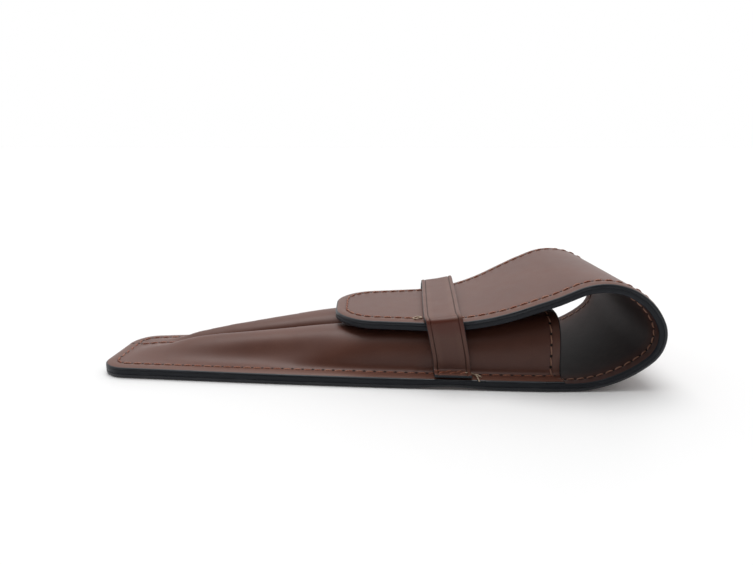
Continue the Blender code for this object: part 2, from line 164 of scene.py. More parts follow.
# Seams
SEAM_INSET = 0.0034
SEAM_REACH = 0.0065
STITCH_PITCH = 0.0030
HEM_INSET = 0.0030
HEM_ZONE = MOUTH_STATION - 0.009
HEM_STATION = MOUTH_STATION - HEM_INSET
HEM_START = (SEAM_INSET - 0.0010, SEAM_INSET + 0.0005)
CENTRE_START = SEAM_INSET + 0.0012
CENTRE_UNTIL = 0.100
TACK_INSETS = (0.0014, 0.0027)
TACK_SLANT = -0.42
TACK_START = 0.0022
TACK_STEP_BACK = 0.0009
TACK_SHARE = 0.02
SLOPE_STEP = 0.001
FOOT_MARGINS = (0.0002, 0.0016)
LAST_STITCH_MARGIN = 0.0012

# Thread and the marks that it leaves; off every seam, points are kept as FAR_OFF from it
THREAD_RADIUS = 0.00023
STITCH_LENGTH = STITCH_PITCH * 0.90
STITCH_LIFT = 0.30
STITCH_DIVE = 0.00044
STITCH_LEAN = math.radians(7)
STITCH_SWAY = math.radians(4)
STITCH_SLIM = 0.35
STITCH_FLATTENED = 0.9
STITCH_SHIFT = 0.37
# Stitches painted paler as lit are marked by this number, and are drawn thinner
LIT_THREAD_MARK = 2.0
PALE_THIN = 0.85
LOOSE_END = 4.0
LOOSE_BEND = 0.0006
LOOSE_THIN = 0.8
UNDER_SINK = 0.00020
UNDER_SINK_RUN = 0.010
PUCKER_REACH = 0.0016
PUCKER_WIDTH = 0.0005
PUCKER_ALONG = 0.00006
PUCKER_AT_HOLE = 0.00010
FAR_OFF = 0.009

# Mesh fineness
ROW_STEP = 0.00075
EDGE_COLUMNS = (0.0, 0.00006, 0.00018, 0.00036, 0.0006, 0.0012, 0.0020, 0.0028, 0.0034, 0.0040,
                0.0050, 0.0065)
MIDDLE_SPANS = 14
NARROW_HALF = 0.0135
PANEL_EDGE = EDGE_COLUMNS[:10]
PANEL_SPANS = 46
FACING_ROWS = 16
FACING_COLUMNS = 60
KEEPER_ROWS = 150
KEEPER_COLUMNS = (0.0, 0.00006, 0.00018, 0.00034, 0.0006, 0.0009, 0.0011, 0.00125, 0.0014, 0.0017,
                  0.0023)
KEEPER_SPANS = 6
CORNER_ROWS = 14
LEAST_STEP = 0.00003
SEAM_PARTS = 1200
MIDDLE_MARGIN = 0.0005
SECTION_CORNERS = 48
SECTION_STEPS = 110
SECTION_SOFTENING = 0.0013

# Edges of the leather: how far they are rounded, and how far they fall away outside the seam
EDGE_ROUND = 0.0005
GLUED_ROUND = 0.00006
LINING_ROUND = 0.00045
FACING_ROUND = 0.0003
KEEPER_SIDE_ROUND = 0.00038
KEEPER_END_ROUND = 0.0003
KEEPER_INNER_ROUND = 0.0002
EDGE_WEAR = 0.00005
EDGE_WEAR_SIZE = 900
EDGE_WEAR_REACH = 0.0006
EDGE_WEAR_FROM = 0.004
EDGE_PILLOW = 0.00032
EDGE_PILLOW_RUN = 0.015
FLANGE_PILLOW = 0.00046
FLANGE_PILLOW_SHARES = (0.7, 0.3)
FLANGE_PILLOW_RISES = (0.010, 0.060)
PILLOW_REACH = 0.0018

# Light and camera
ROOM_LIGHT = 0.72
FRONT_SHADE = 0.05
OVERHEAD_LIGHT = 1.6
OVERHEAD_SPREAD = math.radians(48)
OVERHEAD_AIM = (0.10, -0.15, -1)
TABLE_SIZE = 4.0
TABLE_TOP = -0.0001
TABLE_LIFT = 0.04
TABLE_WHITE = (0.92, 0.92, 0.92, 1)
TABLE_BOUNCE = (0.62, 0.62, 0.62, 1)
BRIGHT_SIDE = (0.0, 0.75, 0.66)
DARK_UNTIL = -0.22
BRIGHT_FROM = 0.35
CAMERA_PITCH = math.radians(13.339)
CAMERA_YAW = math.radians(1.055)
CAMERA_PLACE = (-0.00303, -0.18397, 0.06857)
CAMERA_LENS = 29.17


def smooth_step(value, low, high):
    share = min(max((value - low) / (high - low), 0.0), 1.0)
    return share * share * (3 - 2 * share)


def runs_of_strip():
    """Lengths and turns of the strip's outer face, from the toe to the tip of the tongue."""
    def rise(radius, start, turn):
        return radius * (math.cos(start) - math.cos(start + turn))

    dip_turn = LIFT_TURN + FOLD_TURN + CROWN_TURN - math.pi
    back_run = CASE_LENGTH - LIFT_RADIUS * math.sin(LIFT_TURN) - FOLD_RADIUS * (1 - math.sin(LIFT_TURN))
    crown_end = (rise(LIFT_RADIUS, 0, LIFT_TURN) + rise(FOLD_RADIUS, LIFT_TURN, FOLD_TURN)
                 + rise(CROWN_RADIUS, LIFT_TURN + FOLD_TURN, CROWN_TURN))
    dip_drop = DIP_RADIUS * (1 - math.cos(dip_turn))
    runs = [
        (back_run, 0.0),
        (LIFT_RADIUS * LIFT_TURN, LIFT_TURN),
        (FOLD_RADIUS * FOLD_TURN, FOLD_TURN),
        (CROWN_RADIUS * CROWN_TURN, CROWN_TURN),
        ((crown_end - dip_drop - TONGUE_TOP) / math.sin(dip_turn), 0.0),
        (DIP_RADIUS * dip_turn, -dip_turn),
    ]
    dip_end = heading_at(sum(length for length, turn in runs), runs)[0]
    runs.append((dip_end - TIP_X, 0.0))
    return runs


def heading_at(s, runs=None):
    """Point (x, z) and heading of the outer face at s along the strip from the toe."""
    x, z, heading = TOE_X, 0.0, 0.0
    for length, turn in runs or STRIP_RUNS:
        step = min(s, length)
        angle = turn * step / length
        if turn:
            radius = length / turn
            x += radius * (math.sin(heading + angle) - math.sin(heading))
            z += radius * (math.cos(heading) - math.cos(heading + angle))
        else:
            x += step * math.cos(heading)
            z += step * math.sin(heading)
        heading += angle
        s -= step
        if s <= 0:
            break
    return x, z, heading


STRIP_RUNS = runs_of_strip()
STRIP_LENGTH = sum(length for length, turn in STRIP_RUNS)


def on_case(s, y, z):
    """Place of a point of the case, whose toe was cut askew: its near corner reaches further, and
    its far side is fuller."""
    fade = max(0.0, 1 - s / TOE_LEAN_RUN) ** 2
    lean = TOE_LEAN_SLOPE * y - TOE_LEAN_REACH
    flare = TOE_FAR_FLARE * max(0.0, y / TOE_HALF_WIDTH)
    return Vector((TOE_X + s + fade * lean, y + fade * flare, z))


def on_flange(flat):
    """Place of a point (s, y, height above the panel's flange) of the case."""
    s, y, height = flat
    return on_case(s, y, FLANGE_TOP + height)


def tack_pinch(s, y):
    """How far the keeper's tacks pull the case's underside up at its edges."""
    along = math.exp(-((s - KEEPER_X + TOE_X) / PINCH_RUN) ** 2)
    return PINCH * along * (1 - smooth_step(half_width(s) - abs(y), 0.0, PINCH_REACH))


def folded(flat):
    """Where a point (s, y, depth) of the flat strip comes to lie when the flap is folded."""
    s, y, depth = flat
    if s < MOUTH_STATION:
        return on_case(s, y, depth + tack_pinch(s, y) * (1 - depth / FLANGE_TOP))
    x, z, heading = heading_at(s)
    depth *= 1 + FLAP_SWELL * smooth_step(s, MOUTH_STATION, MOUTH_STATION + FLAP_SWELL_RUN)
    return Vector((x - math.sin(heading) * depth, y, z + math.cos(heading) * depth))


def station_above(x):
    """Station of the upper side of the flap above x."""
    low = STRIP_RUNS[0][0] + STRIP_RUNS[1][0] + STRIP_RUNS[2][0] + STRIP_RUNS[3][0] / 2
    high = STRIP_LENGTH
    for _ in range(40):
        middle = (low + high) / 2
        if heading_at(middle)[0] > x:
            low = middle
        else:
            high = middle
    return low


def rounding(distance, radius):
    """How far a round corner or edge falls away from square, at a distance from where it ends."""
    if distance >= radius:
        return 0.0
    return radius - math.sqrt(max(radius ** 2 - (radius - distance) ** 2, 0.0))


def case_side(x):
    """Half the width of the case at x, with the corners of the toe still square."""
    share = min((x - TOE_X) / SIDE_RUN, 1.0)
    side = TOE_HALF_WIDTH + (MOUTH_HALF_WIDTH - TOE_HALF_WIDTH) * share
    return side + 4 * SIDE_BOW * share * (1 - share)


def tongue_side(from_tip):
    """Half the width of the flap at a distance from its tip, with its corners still square."""
    share = min(from_tip / TAPER_RUN, 1.0)
    taper = TONGUE_HALF_WIDTH + (MOUTH_HALF_WIDTH - TONGUE_HALF_WIDTH) * share
    return taper - TAPER_WAIST * math.sin(math.pi * share) ** 2


def half_width(s, inset=0.0):
    """Half the width of the strip at s, with its round corners, inside a line inset from the edge."""
    from_tip = STRIP_LENGTH - s
    case = case_side(TOE_X + s) - inset - rounding(s - inset, TOE_CORNER - inset)
    tongue = tongue_side(from_tip) - inset - rounding(from_tip - inset, TONGUE_CORNER - inset)
    return min(case, tongue)


def from_edge(s, y):
    """Distance of a flat point of the strip from its cut edge."""
    from_tip = STRIP_LENGTH - s
    side = min(case_side(TOE_X + s), tongue_side(from_tip)) - abs(y)
    end, corner = (s, TOE_CORNER) if s < from_tip else (from_tip, TONGUE_CORNER)
    if side < corner and end < corner:
        return corner - math.hypot(corner - side, corner - end)
    return min(side, end)


def seam_line():
    """Edge seam in the flat strip, from the middle of the toe along one side to the tip."""
    fine = 16
    stations = [SEAM_INSET + (TOE_CORNER - SEAM_INSET) * (1 - math.cos(math.pi / 2 * i / fine))
                for i in range(fine)]
    steps = 400
    first, last = TOE_CORNER, STRIP_LENGTH - TONGUE_CORNER
    stations += [first + (last - first) * i / steps for i in range(steps)]
    stations += [last + (TONGUE_CORNER - SEAM_INSET) * math.sin(math.pi / 2 * i / fine)
                 for i in range(fine + 1)]
    line = [Vector((SEAM_INSET, half_width(SEAM_INSET, SEAM_INSET) * i / fine)) for i in range(fine)]
    line += [Vector((s, half_width(s, SEAM_INSET))) for s in stations]
    end = line[-1].copy()
    line += [Vector((end.x, end.y * (1 - i / fine))) for i in range(1, fine + 1)]
    return line


def without_crowding(stations):
    """Stations in order, leaving out any that lies almost on the one before."""
    kept = []
    for s in sorted(stations):
        if not kept or s - kept[-1] > LEAST_STEP:
            kept.append(s)
    return kept


def walk(line, distances):
    """Points of a line at these distances along it, each with the direction there."""
    spots = []
    passed = 0.0
    i = 0
    for distance in distances:
        while i < len(line) - 2 and passed + (line[i + 1] - line[i]).length < distance:
            passed += (line[i + 1] - line[i]).length
            i += 1
        step = line[i + 1] - line[i]
        spots.append((line[i] + step * ((distance - passed) / step.length), step.normalized()))
    return spots


def length_of(line):
    return sum((b - a).length for a, b in zip(line, line[1:]))


SEAM = seam_line()
SEAM_LENGTH = length_of(SEAM)
SEAM_STITCHES = round(SEAM_LENGTH / STITCH_PITCH)
SEAM_PITCH = SEAM_LENGTH / SEAM_STITCHES
SEAM_SPOTS = walk(SEAM, [SEAM_LENGTH * i / SEAM_PARTS for i in range(SEAM_PARTS + 1)])
SEAM_TREE = kdtree.KDTree(len(SEAM_SPOTS))
for index, (spot, direction) in enumerate(SEAM_SPOTS):
    SEAM_TREE.insert((spot.x, spot.y, 0), index)
SEAM_TREE.balance()


def seam_at(s, y):
    """Where a flat point lies: stitches along the edge seam, distance inside it, and distance from
    the cut edge."""
    index = SEAM_TREE.find((s, abs(y), 0))[1]
    spot, direction = SEAM_SPOTS[index]
    off = Vector((s, abs(y))) - spot
    along = SEAM_LENGTH * index / SEAM_PARTS + off.dot(direction)
    return Vector((along / SEAM_PITCH, off.x * direction.y - off.y * direction.x, from_edge(s, y)))


# Leather is cut flat, given its thickness, edges and stitch holes, and then folded
def end_rows(at, corner, sign):
    """Stations at a round end of the strip, closer towards the edge."""
    rows = {at + sign * corner * (1 - math.cos(math.pi / 2 * i / CORNER_ROWS))
            for i in range(CORNER_ROWS + 1)}
    return rows | {at + sign * inset for inset in EDGE_COLUMNS[:4]}


def layer_rows(start, end, step):
    """Stations of a layer's rows: even, and closer at the strip's two round ends."""
    count = max(2, round((end - start) / step))
    rows = {start + (end - start) * i / count for i in range(count + 1)}
    for place, corner, at, sign in ((start, TOE_CORNER, 0.0, 1), (end, TONGUE_CORNER, STRIP_LENGTH, -1)):
        if place == at:
            rows = {s for s in rows if abs(s - at) > corner} | end_rows(at, corner, sign)
    return without_crowding(rows)[:-1] + [end]


def across(j, half):
    """Place across the strip of column j of a layer."""
    squeeze = min(1.0, half / NARROW_HALF)
    edge = len(EDGE_COLUMNS) - 1
    inner = half - EDGE_COLUMNS[-1] * squeeze
    last = 2 * edge + MIDDLE_SPANS
    if j <= edge:
        return -(half - EDGE_COLUMNS[j] * squeeze)
    if j >= last - edge:
        return half - EDGE_COLUMNS[last - j] * squeeze
    return inner * (2 * (j - edge) / MIDDLE_SPANS - 1)


def pillow(distance):
    """How far the leather falls away between its seam and its edge, as a share."""
    return 1 - smooth_step(distance, 0.0, PILLOW_REACH)


def pucker(phase, off):
    """Depth to which the thread pulls the leather in, deepest at the holes, at whole phases."""
    if abs(off) > PUCKER_REACH:
        return 0.0
    near_line = math.exp(-(off / PUCKER_WIDTH) ** 2)
    at_hole = 0.5 + 0.5 * math.cos(2 * math.pi * phase)
    return near_line * (PUCKER_ALONG + PUCKER_AT_HOLE * at_hole)


def under_sink(s):
    """How far the stitches of the underside are pressed in, where the case lies on them."""
    return UNDER_SINK * (1 - smooth_step(s, MOUTH_STATION, MOUTH_STATION + UNDER_SINK_RUN))


def finish_mesh(name, build, sharp=math.radians(35)):
    """Object of a finished bmesh, smooth but for its sharp edges."""
    mesh = bpy.data.meshes.new(name)
    build.to_mesh(mesh)
    build.free()
    made = bpy.data.objects.new(name, mesh)
    bpy.context.scene.collection.objects.link(made)
    mesh.shade_smooth()
    mesh.set_sharp_from_angle(angle=sharp)
    return made


def plate_of(rows, columns, place=lambda i, j: (i, j, 0.0), thickness=1.0):
    """Closed plate over a grid, with room to keep two attributes. Where no place is given, a vertex
    lies at its row and column, and at 0 on the outer side or at -1 on the inner one."""
    build = bmesh.new()
    bmesh.ops.create_grid(build, x_segments=rows - 1, y_segments=columns - 1, size=0.5)
    for vert in build.verts:
        vert.co = place(round((vert.co.x + 0.5) * (rows - 1)), round((vert.co.y + 0.5) * (columns - 1)))
    bmesh.ops.solidify(build, geom=build.faces[:], thickness=thickness)
    layers = build.verts.layers.float_vector
    return build, layers.new("hide"), layers.new("seam")


def cells_of(build):
    """The vertices of such a plate, each with its row, its column and whether it is an inner one."""
    for vert in build.verts:
        yield vert, round(vert.co.x), round(vert.co.y), vert.co.z < -0.5


def cut_layer(name, start, end, low, high, low_round, high_round, step=ROW_STEP):
    """One layer of the strip between two cuts, folded to its place."""
    rows = layer_rows(start, end, step)
    columns = 2 * len(EDGE_COLUMNS) - 1 + MIDDLE_SPANS
    build, hide, seam = plate_of(len(rows), columns,
                                 lambda i, j: (rows[i], across(j, half_width(rows[i])), high), high - low)
    middle = (low + high) / 2
    for vert in build.verts:
        s, y, depth = vert.co
        place = seam_at(s, y)
        vert[hide] = (s, y, depth)
        vert[seam] = place
        dent = pucker(place.x, place.y)
        wear = noise.noise(Vector((s, y, 3)) * EDGE_WEAR_SIZE) * EDGE_WEAR
        wear *= math.exp(-place.z / EDGE_WEAR_REACH)
        if depth > middle:
            depth -= rounding(place.z, high_round) + (dent if high_round > GLUED_ROUND else 0)
        else:
            depth += rounding(place.z, low_round) + (dent if low_round > GLUED_ROUND else 0)
            if low_round > GLUED_ROUND:
                past_mouth = smooth_step(s, MOUTH_STATION, MOUTH_STATION + EDGE_PILLOW_RUN)
                depth += EDGE_PILLOW * pillow(place.z) * past_mouth
                depth += under_sink(s) * math.exp(-(place.y / PUCKER_WIDTH) ** 2)
        spread = 1 + wear / max(abs(y), EDGE_WEAR_FROM)
        vert.co = folded((s, y * spread, depth))
    return finish_mesh(name, build)


# Bends that the strip opens on, with their reach to both sides, and its cuts between them
FLAP_BODIES = ["case", "flap_lift", "flap_fold", "flap_crown", "flap_shoulder", "flap_slope", "flap_tongue"]
BEND_STATIONS = [0.14210, 0.16000, 0.17290, 0.18680, 0.20761, 0.22750]
BEND_REACH = [0.0085, 0.0062, 0.0062, 0.0068, 0.0095, 0.0098]
CUTS = [0.0, 0.1510, 0.1664, 0.1798, 0.1972, 0.2175, STRIP_LENGTH]


def bend_with(piece, zone):
    """Bake a piece's placement into its mesh; the ends of its zone's bend are worked out, but nothing uses
    them.
    """
    middle, reach = BEND_STATIONS[zone], BEND_REACH[zone]
    start = folded((middle - reach, 0, LINING_TOP / 2))
    end = folded((middle + reach, 0, LINING_TOP / 2))
    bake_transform(piece)


pieces_of = {"outer_leather": [], "lining": [], "thread": []}


def keep(piece, slot, nodes, rides=True):
    """Note what a piece is made of, and hide the nodes that it stands for; unless rides is false, it
    rides on the case."""
    if rides:
        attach(piece, "case")
    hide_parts(*nodes)
    pieces_of[slot].append(piece)


LINING_FACE = OUTER_LEATHER + GLUE_LINE
for zone, body in enumerate(FLAP_BODIES[1:]):
    start, end = CUTS[zone], CUTS[zone + 1]
    piece = cut_layer("leather_" + body, start, end, 0.0, OUTER_LEATHER, EDGE_ROUND, GLUED_ROUND)
    bend_with(piece, zone)
    keep(piece, "outer_leather", ["back_outer"] * (zone == 0) + [body + "_outer"], rides=False)
    start = max(start, MOUTH_STATION)
    piece = cut_layer("lining_" + body, start, end, LINING_FACE, LINING_TOP, GLUED_ROUND, LINING_ROUND)
    bend_with(piece, zone)
    keep(piece, "lining", [body + "_lining"], rides=False)
piece = cut_layer("lining_back", 0.0, MOUTH_STATION, LINING_FACE, LINING_TOP, GLUED_ROUND, GLUED_ROUND,
                  2 * ROW_STEP)
keep(piece, "lining", ["back_lining"])


# Front panel, wet-moulded into two channels
def monotone(knots, x):
    """Smooth curve through (x, height) knots that never overshoots them."""
    x = min(max(x, knots[0][0]), knots[-1][0])
    spans = [b[0] - a[0] for a, b in zip(knots, knots[1:])]
    rates = [(b[1] - a[1]) / span for a, b, span in zip(knots, knots[1:], spans)]
    slopes = [rates[0]]
    for left, right in zip(rates, rates[1:]):
        slopes.append(2 * left * right / (left + right) if left * right > 0 else 0.0)
    slopes.append(rates[-1])
    for i, span in enumerate(spans):
        if x <= knots[i + 1][0]:
            t = (x - knots[i][0]) / span
            return (knots[i][1] * (1 + 2 * t) * (1 - t) ** 2 + span * slopes[i] * t * (1 - t) ** 2
                    + knots[i + 1][1] * t * t * (3 - 2 * t) - span * slopes[i + 1] * t * t * (1 - t))
    return knots[-1][1]


def crest(x, side):
    """Height of a channel's crest above the flange."""
    knots = [(TOE_X + FLANGE_WIDTH, 0.0)]
    knots += [(TOE_X + from_toe, rise) for from_toe, rise in CRESTS[side]]
    knots += [(KEEPER_X, KEEPER_RISE), (MOUTH_X, MOUTH_RISE)]
    return monotone(knots, x)


def valley_drift(s):
    """How far the valley wanders from the middle of the case towards its far side, at the toe."""
    drift = VALLEY_DRIFT * (1 - smooth_step(s, 0.0, VALLEY_DRIFT_RUN))
    return drift + VALLEY_VEER * (1 - smooth_step(s, 0.0, VALLEY_VEER_RUN))


def valley_lift(s):
    """Height of the unpressed leather in the valley near the toe."""
    return VALLEY_LIFT * smooth_step(s, *VALLEY_LIFT_RISES) * (1 - smooth_step(s, *VALLEY_LIFT_ENDS))


def softened(points, window, mirror_x):
    """Points of a section averaged along it, straight at its start and mirrored at its end."""
    padded = [points[0] * 2 - points[k] for k in range(window, 0, -1)] + points
    padded += [Vector((2 * mirror_x - points[-1 - k].x, points[-1 - k].y)) for k in range(1, window + 1)]
    sums = [Vector((0, 0))]
    for point in padded:
        sums.append(sums[-1] + point)
    width = 2 * window + 1
    return [(sums[i + width] - sums[i]) / width for i in range(len(points))]


def half_section(x, side):
    """Outer face of the panel at x, from its edge over one channel to the valley, as even points
    (distance across from the case's middle, height above the flange)."""
    s = x - TOE_X
    half = half_width(s)
    centre = side * min(valley_drift(s), half - VALLEY_MARGIN)
    inner = VALLEY_HALF_WIDTH + centre
    outer = max(half - FLANGE_WIDTH, inner + CHANNEL_LEAST)
    middle = (outer + inner) / 2
    reach = (outer - inner) / 2
    rise = crest(x, side)
    peak = SOFT_PEAK[side]
    outer_share = smooth_step(s, OUTER_SOFT_UNTIL, OUTER_SQUARE_FROM)
    inner_share = smooth_step(s, INNER_SOFT_UNTIL, INNER_SQUARE_FROM)
    power = 2 / CHANNEL_SQUARENESS
    line = [Vector((half, 0.0))]
    for i in range(SECTION_CORNERS + 1):
        u = 1 - 2 * i / SECTION_CORNERS
        angle = math.pi * i / SECTION_CORNERS
        from_peak = (u - peak) / (1 - peak if u > peak else 1 + peak)
        soft = Vector((reach * u, rise * (0.5 + 0.5 * math.cos(math.pi * from_peak))))
        over = math.copysign(abs(math.cos(angle)) ** power, math.cos(angle))
        upright = Vector((reach * over, rise * abs(math.sin(angle)) ** power))
        to_outer = smooth_step(u, -CHANNEL_TURN, CHANNEL_TURN)
        upright_share = inner_share + (outer_share - inner_share) * to_outer
        line.append(Vector((middle, 0)) + soft.lerp(upright, upright_share))
    line.append(Vector((centre, 0.0)))
    total = length_of(line)
    spots = walk(line, [total * i / SECTION_STEPS for i in range(SECTION_STEPS + 1)])
    points = [spot for spot, direction in spots]
    window = max(1, round(SECTION_SOFTENING / (total / SECTION_STEPS)))
    points = softened(softened(points, window, centre), window, centre)
    lift = valley_lift(s)
    return [Vector((p.x, p.y + lift * math.exp(-((p.x - centre) / VALLEY_LIFT_REACH) ** 2)))
            for p in points]


def on_section(points, total, distance):
    """Point and outward normal of a section at a distance from its edge."""
    position = min(distance / total * SECTION_STEPS, SECTION_STEPS - 0.001)
    k = int(position)
    point = points[k].lerp(points[k + 1], position - k)
    step = (points[min(k + 2, SECTION_STEPS)] - points[max(k - 1, 0)]).normalized()
    return point, Vector((step.y, -step.x))


def on_panel(s, side, point):
    """Place in space of a section's point (distance across, height)."""
    return on_flange((s, side * point.x, point.y))


def along_section(j, total, half):
    """Distance from the panel's edge, along its section, of column j of one half."""
    squeeze = min(1.0, half / NARROW_HALF)
    edge = len(PANEL_EDGE) - 1
    if j <= edge:
        return PANEL_EDGE[j] * squeeze
    start = PANEL_EDGE[-1] * squeeze
    return start + (total - start) * (j - edge) / PANEL_SPANS


def panel_rows():
    """Stations of the panel's rows: even, and closer at the toe and beside the mouth."""
    rows = end_rows(0.0, TOE_CORNER, 1)
    count = round((MOUTH_STATION - TOE_CORNER) / ROW_STEP)
    rows |= {TOE_CORNER + (MOUTH_STATION - TOE_CORNER) * i / count for i in range(count + 1)}
    rows |= {MOUTH_STATION - inset for inset in EDGE_COLUMNS[1:5]}
    return without_crowding(rows)


hem_rows = {}
for side in (-1, 1):
    hem_points = half_section(TOE_X + HEM_STATION, side)
    hem_total = length_of(hem_points)
    hem_run = hem_total - SEAM_INSET
    hem_rows[side] = (hem_points, hem_total, hem_run / round(hem_run / STITCH_PITCH))


def row_at(s, side, distance, total):
    """Where a point of the panel lies by the hem or the centre seam: stitches along it, distance off
    it, and 1 where one of them is near."""
    if s > HEM_ZONE:
        pitch = hem_rows[side][2]
        share = smooth_step(distance, *HEM_START)
        return Vector(((distance - SEAM_INSET) / pitch, s - HEM_STATION, share))
    if s < CENTRE_UNTIL:
        return Vector(((s - CENTRE_START) / STITCH_PITCH, side * (total - distance), 1.0))
    return Vector((0.0, FAR_OFF, 0.0))


def make_panel(name):
    """The front panel: flange, two channels and the valley between them."""
    rows = panel_rows()
    per_half = len(PANEL_EDGE) - 1 + PANEL_SPANS
    thickness = FLANGE_TOP - LINING_TOP - GLUE_LINE
    sections = {}
    for i, s in enumerate(rows):
        for side in (-1, 1):
            points = half_section(TOE_X + s, side)
            sections[i, side] = (points, length_of(points))
    build, hide, seam = plate_of(len(rows), 2 * per_half + 1)
    row = build.verts.layers.float_vector.new("row")
    for vert, i, j, inner in cells_of(build):
        side = -1 if j <= per_half else 1
        points, total = sections[i, side]
        s = rows[i]
        half = half_width(s)
        distance = along_section(j if side < 0 else 2 * per_half - j, total, half)
        point, normal = on_section(points, total, distance)
        place = seam_at(s, half - min(distance, half - MIDDLE_MARGIN))
        place.z = min(place.z, MOUTH_STATION - s)
        on_row = row_at(s, side, distance, total)
        vert[hide] = (s, side * (total - distance), thickness if inner else 0.0)
        vert[seam] = place
        vert[row] = on_row
        if inner:
            depth = thickness - rounding(place.z, GLUED_ROUND)
        else:
            depth = rounding(place.z, EDGE_ROUND)
            at_toe, further = FLANGE_PILLOW_SHARES
            share = at_toe + further * smooth_step(s, *FLANGE_PILLOW_RISES)
            depth += FLANGE_PILLOW * pillow(place.z) * share
            if distance < SEAM_REACH:
                depth += pucker(place.x, place.y)
            depth += pucker(on_row.x, on_row.y) * on_row.z
            hand = noise.noise(Vector((s, side * distance, 7)) * HAND_WAVE_SIZES[0])
            hand += 0.5 * noise.noise(Vector((s, distance, side)) * HAND_WAVE_SIZES[1])
            depth -= hand * HAND_WAVES * smooth_step(point.y, *HAND_WAVES_RISE)
        vert.co = on_panel(s, side, point - normal * depth)
    return finish_mesh(name, build)


def make_facing(name, side):
    """Strip of lining leather that backs the panel inside one pocket's mouth, down to where its
    inside would meet the lining of the back."""
    outside = FLANGE_TOP - LINING_TOP
    stations = [MOUTH_STATION - FACING_DEPTH + FACING_DEPTH * math.sin(math.pi / 2 * i / (FACING_ROWS - 1))
                for i in range(FACING_ROWS)]
    spans = []
    for s in stations:
        points = half_section(TOE_X + s, side)
        total = length_of(points)
        clear = []
        for k in range(SECTION_STEPS + 1):
            point, normal = on_section(points, total, total * k / SECTION_STEPS)
            if outside + point.y - normal.y * (outside + FACING_LEATHER) > GLUE_LINE:
                clear.append(total * k / SECTION_STEPS)
        spans.append((points, total, clear[0], clear[-1]))
    build, hide, seam = plate_of(FACING_ROWS, FACING_COLUMNS)
    for vert, i, j, inner in cells_of(build):
        points, total, first, last = spans[i]
        share = j / (FACING_COLUMNS - 1)
        distance = last + (first - last) * share if side > 0 else first + (last - first) * share
        point, normal = on_section(points, total, distance)
        from_mouth = MOUTH_STATION - stations[i]
        vert[hide] = (stations[i], distance, FACING_LEATHER if inner else 0.0)
        vert[seam] = (0.0, FAR_OFF, from_mouth)
        depth = outside + (FACING_LEATHER - rounding(from_mouth, FACING_ROUND) if inner else 0.0)
        vert.co = on_panel(stations[i], side, point - normal * depth)
    return finish_mesh(name, build)


SIDES = (("near", -1), ("far", 1))
keep(make_panel("front_leather"), "outer_leather", ["front_panel"])
for word, side in SIDES:
    keep(make_facing("facing_leather_" + word, side), "lining", ["facing_" + word])


# Keeper: a creased band over the tongue, a little askew, with a foot on each side
def rounded_path(corners, radii):
    """Line through corners, each drawn round over its own distance."""
    points = [corners[0]]
    for before, corner, after, radius in zip(corners, corners[1:], corners[2:], radii):
        start = corner + (before - corner).normalized() * radius
        end = corner + (after - corner).normalized() * radius
        for i in range(9):
            t = i / 8
            points.append(start.lerp(corner, t).lerp(corner.lerp(end, t), t))
    return points + [corners[-1]]


def keeper_path(x):
    """Outer face of the band at x, from the near foot over the tongue to the far foot, as (y, z)."""
    widest = KEEPER_X + KEEPER_WIDTH / 2
    foot_tip = case_side(x)
    wall_foot = foot_tip - KEEPER_FOOT_REACH
    tongue = half_width(station_above(widest)) + KEEPER_SIDE_PLAY
    wall_top = tongue + case_side(x) - case_side(widest) + KEEPER_LEATHER
    foot = FLANGE_TOP + GLUE_LINE + KEEPER_LEATHER
    top = heading_at(station_above(x + KEEPER_FAR_LEAN))[1] + KEEPER_PLAY + KEEPER_LEATHER
    far_top = top + KEEPER_FAR_RISE
    corners = [Vector(corner) for corner in (
        (-foot_tip, foot), (-wall_foot, foot), (-wall_top, top - KEEPER_DROP), (-wall_top, top),
        (wall_top, far_top), (wall_top, far_top - KEEPER_DROP), (wall_foot, foot), (foot_tip, foot))]
    return rounded_path(corners, KEEPER_BENDS)


def keeper_lean(t):
    """How far the band is pushed along the case at a share t of its length from the near foot."""
    lean = 0.0
    for shift in KEEPER_EASING:
        at = min(max(t + shift, 0.0), 1.0)
        for (start, low), (end, high) in zip(KEEPER_LEANS, KEEPER_LEANS[1:]):
            if start <= at <= end:
                lean += (low + (high - low) * (at - start) / (end - start)) / len(KEEPER_EASING)
                break
    return lean


